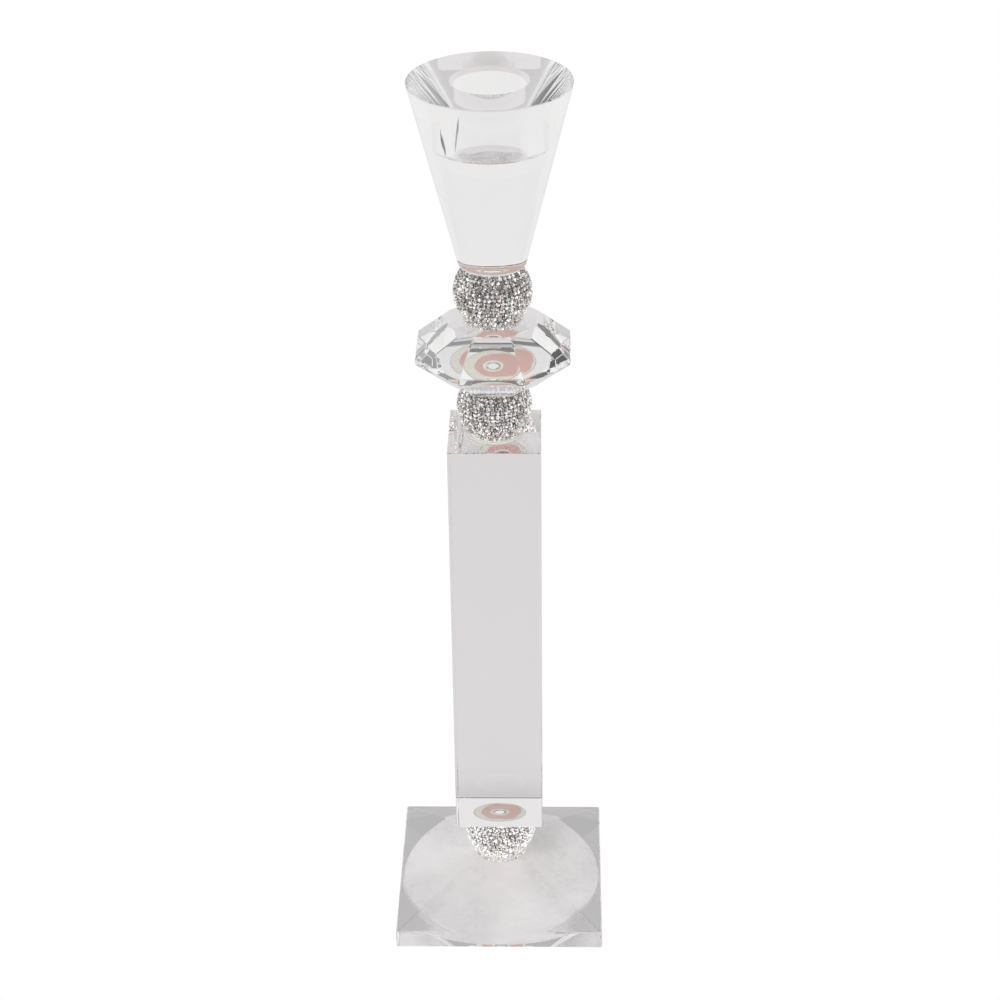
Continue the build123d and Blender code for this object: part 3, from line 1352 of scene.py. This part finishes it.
@dataclass
class Studio:
    """Camera, pale floor and soft light. Nothing of it is part of the object."""

    camera_place: Triple = (0.02092, -0.69176, 0.56488)
    camera_tilt: float = 59.775
    camera_turn: float = 1.615
    camera_roll: float = -0.785
    lens: float = 87.29
    floor_radius: float = 1.0
    floor_glow: Colour = (0.735, 0.718, 0.722)
    shade_radii: tuple[float, float] = (0.048, 0.078)
    shade: float = 0.64  # of the glow, close to the foot
    lit_shade: float = 0.98  # the same under the foot's front slope
    lit_edge: tuple[float, float] = (-0.044, -0.038)
    lit_softness: float = 0.003
    front_shade: float = 0.72  # of the glow, on the floor in front
    front_edge: tuple[float, float] = (-0.30, -0.16)
    backdrop: float = 1.0
    bounces: int = 44
    sky_span: tuple[float, float] = (-0.3, 0.9)
    sky: Sequence[tuple[float, float]] = ((0.0, 0.88), (0.20, 0.86), (0.33, 0.96), (0.52, 0.95),
                                          (0.66, 0.80), (0.78, 0.88), (1.0, 0.86))
    ceiling: tuple[float, float] = (0.09, 0.42)
    ceiling_line: tuple[float, float] = (0.39, 0.43)
    ceiling_span: tuple[float, float] = (-0.6, 0.9)
    gap_from: tuple[float, float] = (-28.0, -6.0)  # turn from +Y and rise, in degrees
    gap_to: tuple[float, float] = (-50.0, -12.0)
    gap_centre: tuple[float, float] = (-41.5, -9.9)
    gap_reach: tuple[float, float] = (8.5, 9.42)  # degrees to each side of its centre
    gap_width: tuple[float, float] = (0.012, 0.020)
    gap_tone: Colour = (0.2, 0.2, 0.2)
    lamp_place: Triple = (-0.35, -0.95, 1.15)
    lamp_width: float = 0.6
    lamp_power: float = 7.5

    def build(self) -> None:
        """Sets up everything around the object."""
        self.place_camera()
        self.lay_floor()
        self.hang_sky()
        self.hang_lamp()
        bpy.context.scene.view_settings.view_transform = "Standard"
        for kind in ("max_bounces", "transmission_bounces", "glossy_bounces"):
            setattr(bpy.context.scene.cycles, kind, self.bounces)

    def place_camera(self) -> None:
        """Stands the camera in front of the candlestick, looking down at it."""
        camera = bpy.data.objects.new("camera", bpy.data.cameras.new("camera"))
        bpy.context.scene.collection.objects.link(camera)
        camera.data.lens = self.lens
        camera.data.sensor_width = 36.0
        turn = (Matrix.Rotation(math.radians(self.camera_turn), 4, "Z")
                @ Matrix.Rotation(math.radians(self.camera_tilt), 4, "X")
                @ Matrix.Rotation(math.radians(self.camera_roll), 4, "Z"))
        camera.matrix_world = Matrix.Translation(self.camera_place) @ turn
        bpy.context.scene.camera = camera

    def lay_floor(self) -> None:
        """A round pale table top: white where it is looked at, and grey to the glass.

        To the glass its glow is darkest close to the foot as a painted shadow, lifted to a painted
        pool of light under the foot's front slope, and a little darker in front as painted shade.
        """
        Bench.clear()
        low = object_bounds()[0].z
        bpy.ops.mesh.primitive_circle_add(vertices=96, radius=self.floor_radius,
                                          fill_type="NGON", location=(0, 0, low - 0.0001))
        floor = Bench.settle("table_top")
        made = bpy.data.materials.new("table_top")
        made.use_nodes = True
        board = NodeBoard(made.node_tree)
        vector = board.place()
        across, along, _ = board.add("SeparateXYZ", {0: vector}).outputs
        ahead = board.math("ADD", along, board.math("ABSOLUTE", across))
        under = board.band(along, *self.lit_edge)
        lit = board.math("MULTIPLY", board.band(ahead, self.lit_softness, -self.lit_softness), under)
        shaded = board.band(lit, 0.0, 1.0, self.shade, self.lit_shade)
        near = board.band(board.radius(vector), *self.shade_radii, shaded, 1.0)
        front = board.band(along, *self.front_edge, self.front_shade, 1.0)
        seen = board.add("Emission", {0: (*self.floor_glow, 1.0),
                                      1: board.math("MULTIPLY", near, front)})
        rays = board.add("LightPath")
        white = board.add("Emission", {0: (1, 1, 1, 1), 1: self.backdrop})
        both = board.add("MixShader", {0: rays.outputs["Is Camera Ray"], 1: seen.outputs[0],
                                       2: white.outputs[0]})
        board.tree.links.new(both.outputs[0],
                             made.node_tree.nodes["Material Output"].inputs["Surface"])
        floor.data.materials.append(made)
        floor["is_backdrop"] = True

    def hang_sky(self) -> None:
        """Soft light from pale walls all round, and a dim ceiling towards the front.

        A narrow dark gap low at the back draws a thin line beside the cup's bore.
        """
        world = bpy.data.worlds.new("soft_light")
        bpy.context.scene.world = world
        world.use_nodes = True
        board = NodeBoard(world.node_tree)
        direction = board.add("TexCoord").outputs["Generated"]
        parts = board.add("SeparateXYZ", {0: direction})
        across, along, up = parts.outputs
        walls = board.ramp(board.band(up, *self.sky_span), [
            (place, (value, value * 0.99, value * 0.985)) for place, value in self.sky])
        line = board.math("SUBTRACT", up, board.math("MULTIPLY", along, 0.4))
        above = board.band(across, *self.ceiling_span, *self.ceiling)
        tone = board.mix(board.band(line, *self.ceiling_line), walls, above)
        tone = board.mix(self.gap(board, direction), tone, self.gap_tone)
        soft = world.node_tree.nodes["Background"]
        board.tree.links.new(tone, soft.inputs[0])
        white = board.add("Background", {0: (1, 1, 1, 1), 1: self.backdrop})
        rays = board.add("LightPath")
        both = board.add("MixShader", {0: rays.outputs["Is Camera Ray"], 1: soft.outputs[0],
                                       2: white.outputs[0]})
        board.tree.links.new(both.outputs[0],
                             world.node_tree.nodes["World Output"].inputs["Surface"])

    def gap(self, board: NodeBoard, direction: Any) -> Any:
        """Masks the narrow dark gap, which lies along a line between two directions.

        Args:
            board: The world's board.
            direction: The socket with the direction looked in.

        Returns:
            The mask's socket, 1 inside the gap.
        """
        across_gap = self.towards(*self.gap_from).cross(self.towards(*self.gap_to)).normalized()
        beside, along = (board.add("VectorMath", {0: direction, 1: axis},
                                   operation="DOT_PRODUCT").outputs["Value"]
                         for axis in (across_gap, self.towards(*self.gap_centre)))
        inner, outer = self.gap_width
        near, far = (math.cos(math.radians(reach)) for reach in self.gap_reach)
        return board.math("MULTIPLY", board.band(board.math("ABSOLUTE", beside), outer, inner),
                          board.band(along, far, near))

    @staticmethod
    def towards(turn: float, rise: float) -> Vector:
        """The direction at a turn from +Y and a rise, both in degrees."""
        turn, rise = math.radians(turn), math.radians(rise)
        return Vector((math.sin(turn) * math.cos(rise), math.cos(turn) * math.cos(rise),
                       math.sin(rise)))

    def hang_lamp(self) -> None:
        """Hangs a soft square lamp, unseen in the glass, aimed at the object's middle."""
        lamp = bpy.data.lights.new("front_softbox", "AREA")
        lamp.shape = "RECTANGLE"
        lamp.size = lamp.size_y = self.lamp_width
        lamp.energy = self.lamp_power
        holder = bpy.data.objects.new("front_softbox", lamp)
        holder.visible_camera = False
        holder.visible_glossy = holder.visible_transmission = False
        bpy.context.scene.collection.objects.link(holder)
        low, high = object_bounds()
        aim = (low + high) / 2 - Vector(self.lamp_place)
        holder.location = self.lamp_place
        holder.rotation_mode = "QUATERNION"
        holder.rotation_quaternion = aim.to_track_quat("-Z", "Y")


def main() -> None:
    """Builds the candlestick from the foot up."""
    logging.basicConfig(level=logging.INFO, format="%(name)s: %(message)s")
    Studio().build()
    FootPad().build()
    Foot().build()
    Bar().build()
    FacetedDisc().build()
    CandleCup().build()
    stone = CutStone().build()
    # The lower ball's stones get the most painted light.
    for ball in (PavedBall("lower_ball", 8.6 * MM, seed=11, shine=0.26),
                 PavedBall("middle_ball", 8.4 * MM, seed=23, shine=0.05, covers_rings=False),
                 PavedBall("upper_ball", 9.2 * MM, seed=37, shine=0.02)):
        ball.build(stone)
        LOG.info("%s: %d stones", ball.name, ball.stones_seen)
    bpy.data.objects.remove(stone)
    Bench.clear()


if __name__ == "__main__":
    main()
